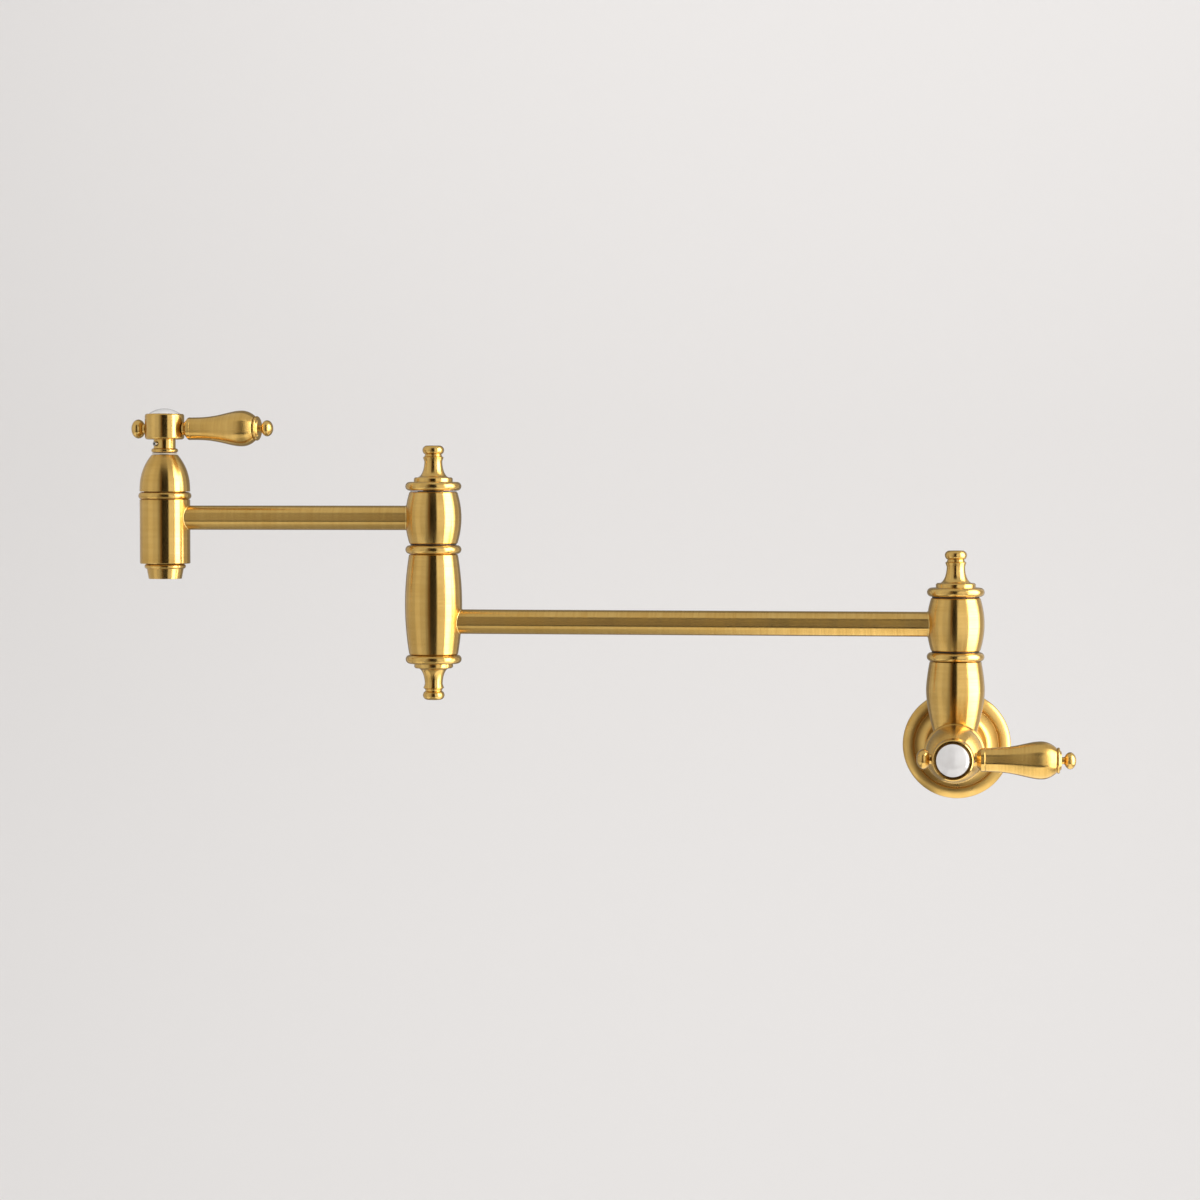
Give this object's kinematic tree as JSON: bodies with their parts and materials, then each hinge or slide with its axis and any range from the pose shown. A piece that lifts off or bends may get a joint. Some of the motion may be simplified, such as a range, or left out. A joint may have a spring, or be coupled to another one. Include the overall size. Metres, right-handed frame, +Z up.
{
  "type": "wall mounted pot filler",
  "caption": "Folding wall tap with jointed tube arms, an elbow swivel, a wall valve, a spout valve with aerator and lever handles with porcelain buttons",
  "frame": {"origin": "middle of the flange's back face, on the wall and on the inlet's axis", "axes": "+Z up, +Y into the wall, +X to the right seen from the room; both arms point to -X at rest"},
  "size_m": [0.7359, 0.1506, 0.305],
  "materials": {
    "brushed_brass": "satin brushed, lacquered",
    "plain_brass": "machined, bare",
    "steel": "stainless, as turned",
    "porcelain": "white gloss glaze",
    "valve_ceramic": "ground",
    "pale_plastic": "moulded nylon",
    "slip_plastic": "dark sliding washer",
    "rubber": "black"
  },
  "bodies": {
    "fixed_body": {"wall_flange": "brushed_brass", "flange_gasket": "rubber", "valve_body": "brushed_brass", "wall_cartridge_body": "plain_brass", "wall_cartridge_fixed_disc": "valve_ceramic", "wall_cartridge_seal": "rubber", "wall_bonnet": "brushed_brass", "wall_glide_ring": "pale_plastic", "wall_swivel_spindle": "brushed_brass", "wall_swivel_lower_oring": "rubber", "wall_swivel_upper_oring": "rubber", "wall_swivel_lower_washer": "slip_plastic", "wall_swivel_upper_washer": "slip_plastic", "wall_swivel_finial": "brushed_brass"},
    "wall_lever": {"wall_cartridge_moving_disc": "valve_ceramic", "wall_cartridge_stem": "plain_brass", "wall_stem_clip": "steel", "wall_handle_hub": "brushed_brass", "wall_handle_button": "porcelain", "wall_handle_set_screw": "steel", "wall_lever_stud": "steel", "wall_lever_grip": "brushed_brass", "wall_lever_tip": "brushed_brass", "wall_counter_ball": "brushed_brass"},
    "long_arm": {"wall_swivel_barrel": "brushed_brass", "long_tube": "brushed_brass", "elbow_lower_barrel": "brushed_brass", "elbow_bottom_finial": "brushed_brass", "elbow_swivel_spindle": "brushed_brass", "elbow_swivel_lower_oring": "rubber", "elbow_swivel_upper_oring": "rubber", "elbow_swivel_lower_washer": "slip_plastic", "elbow_swivel_upper_washer": "slip_plastic", "elbow_top_finial": "brushed_brass"},
    "short_arm": {"elbow_upper_barrel": "brushed_brass", "short_tube": "brushed_brass", "spout_body": "brushed_brass", "aerator_housing": "brushed_brass", "aerator_insert": "pale_plastic", "aerator_washer": "rubber", "spout_cartridge_body": "plain_brass", "spout_cartridge_fixed_disc": "valve_ceramic", "spout_cartridge_seal": "rubber", "spout_bonnet": "brushed_brass", "spout_glide_ring": "pale_plastic"},
    "spout_lever": {"spout_cartridge_moving_disc": "valve_ceramic", "spout_cartridge_stem": "plain_brass", "spout_stem_clip": "steel", "spout_handle_hub": "brushed_brass", "spout_handle_button": "porcelain", "spout_handle_set_screw": "steel", "spout_lever_stud": "steel", "spout_lever_grip": "brushed_brass", "spout_lever_tip": "brushed_brass", "spout_counter_ball": "brushed_brass"}
  },
  "joints": [
    {"name": "wall_lever_turn", "type": "hinge", "parent": "fixed_body", "child": "wall_lever", "pos_m": [0, -0.1346, 0], "axis": [0, 1, 0], "range_deg": [0, 90]},
    {"name": "wall_swivel", "type": "hinge", "parent": "fixed_body", "child": "long_arm", "pos_m": [0, -0.062, 0.0966], "axis": [0, 0, 1], "range_deg": [0, 180]},
    {"name": "elbow_swivel", "type": "hinge", "parent": "long_arm", "child": "short_arm", "pos_m": [-0.404, -0.062, 0.1772], "axis": [0, 0, 1], "continuous": true},
    {"name": "spout_lever_turn", "type": "hinge", "parent": "short_arm", "child": "spout_lever", "pos_m": [-0.619, -0.062, 0.247], "axis": [0, 0, -1], "range_deg": [0, 90]}
  ]
}
